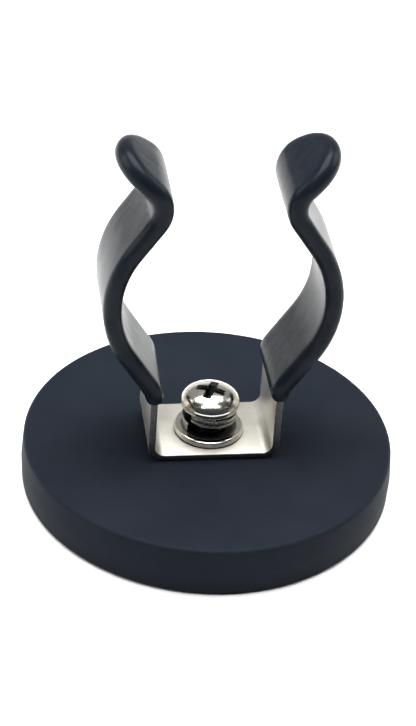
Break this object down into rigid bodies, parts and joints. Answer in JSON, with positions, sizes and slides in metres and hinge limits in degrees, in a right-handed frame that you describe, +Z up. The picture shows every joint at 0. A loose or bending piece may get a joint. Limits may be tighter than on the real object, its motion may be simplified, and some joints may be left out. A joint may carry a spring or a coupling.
{
  "type": "magnetic spring clip holder",
  "caption": "Rubber-coated disc magnet with a screwed-on steel spring clip, its arms dipped in black vinyl, that grips a tube or tool handle.",
  "frame": {"origin": "centre of the disc's flat holding face, on the screw's axis", "axes": "+Z up through the screw, away from the holding face; +Y along the tube that the clip grips; +X towards the right arm"},
  "size_m": [0.043, 0.043, 0.0448],
  "materials": {
    "black_rubber": "matte moulded",
    "mild_steel": "zinc plated",
    "magnet_nickel": "nickel plated, bright",
    "zinc_steel": "zinc plated, turned",
    "spring_steel": "satin nickel plated",
    "black_vinyl": "dipped vinyl, glossy",
    "nickel_plate": "bright nickel plated"
  },
  "bodies": {
    "magnet": {"rubber_jacket": "black_rubber", "backing_plate": "mild_steel", "neodymium_magnet_1": "magnet_nickel", "neodymium_magnet_2": "magnet_nickel", "neodymium_magnet_3": "magnet_nickel", "neodymium_magnet_4": "magnet_nickel", "neodymium_magnet_5": "magnet_nickel", "neodymium_magnet_6": "magnet_nickel", "neodymium_magnet_7": "magnet_nickel", "neodymium_magnet_8": "magnet_nickel", "threaded_bush": "zinc_steel"},
    "clip": {"clip_base": "spring_steel"},
    "left_jaw": {"left_arm": "spring_steel", "left_arm_sleeve": "black_vinyl"},
    "right_jaw": {"right_arm": "spring_steel", "right_arm_sleeve": "black_vinyl"},
    "washers": {"flat_washer": "nickel_plate", "spring_washer": "nickel_plate"},
    "screw": {"pan_head_screw": "nickel_plate"}
  },
  "joints": [
    {"name": "clip_swivel", "type": "hinge", "parent": "magnet", "child": "clip", "pos_m": [0, 0, 0.006], "axis": [0, 0, 1], "continuous": true},
    {"name": "left_arm_flex", "type": "hinge", "parent": "clip", "child": "left_jaw", "pos_m": [-0.0075, 0, 0.0143], "axis": [0, -1, 0], "range_deg": [0, 12], "stiffness_Nm_per_rad": 2.5},
    {"name": "right_arm_flex", "type": "hinge", "parent": "clip", "child": "right_jaw", "pos_m": [0.0075, 0, 0.0143], "axis": [0, 1, 0], "range_deg": [0, 12], "stiffness_Nm_per_rad": 2.5},
    {"name": "screw_lift", "type": "slide", "parent": "magnet", "child": "washers", "axis": [0, 0, 1], "range_m": [0, 0.00155]},
    {"name": "screw_turn", "type": "hinge", "parent": "washers", "child": "screw", "pos_m": [0, 0, 0.0104], "axis": [0, 0, 1], "range_deg": [0, 800]}
  ],
  "couplings": [
    {"joint": "screw_turn", "follows": "screw_lift", "rad_per_m": 8976}
  ]
}
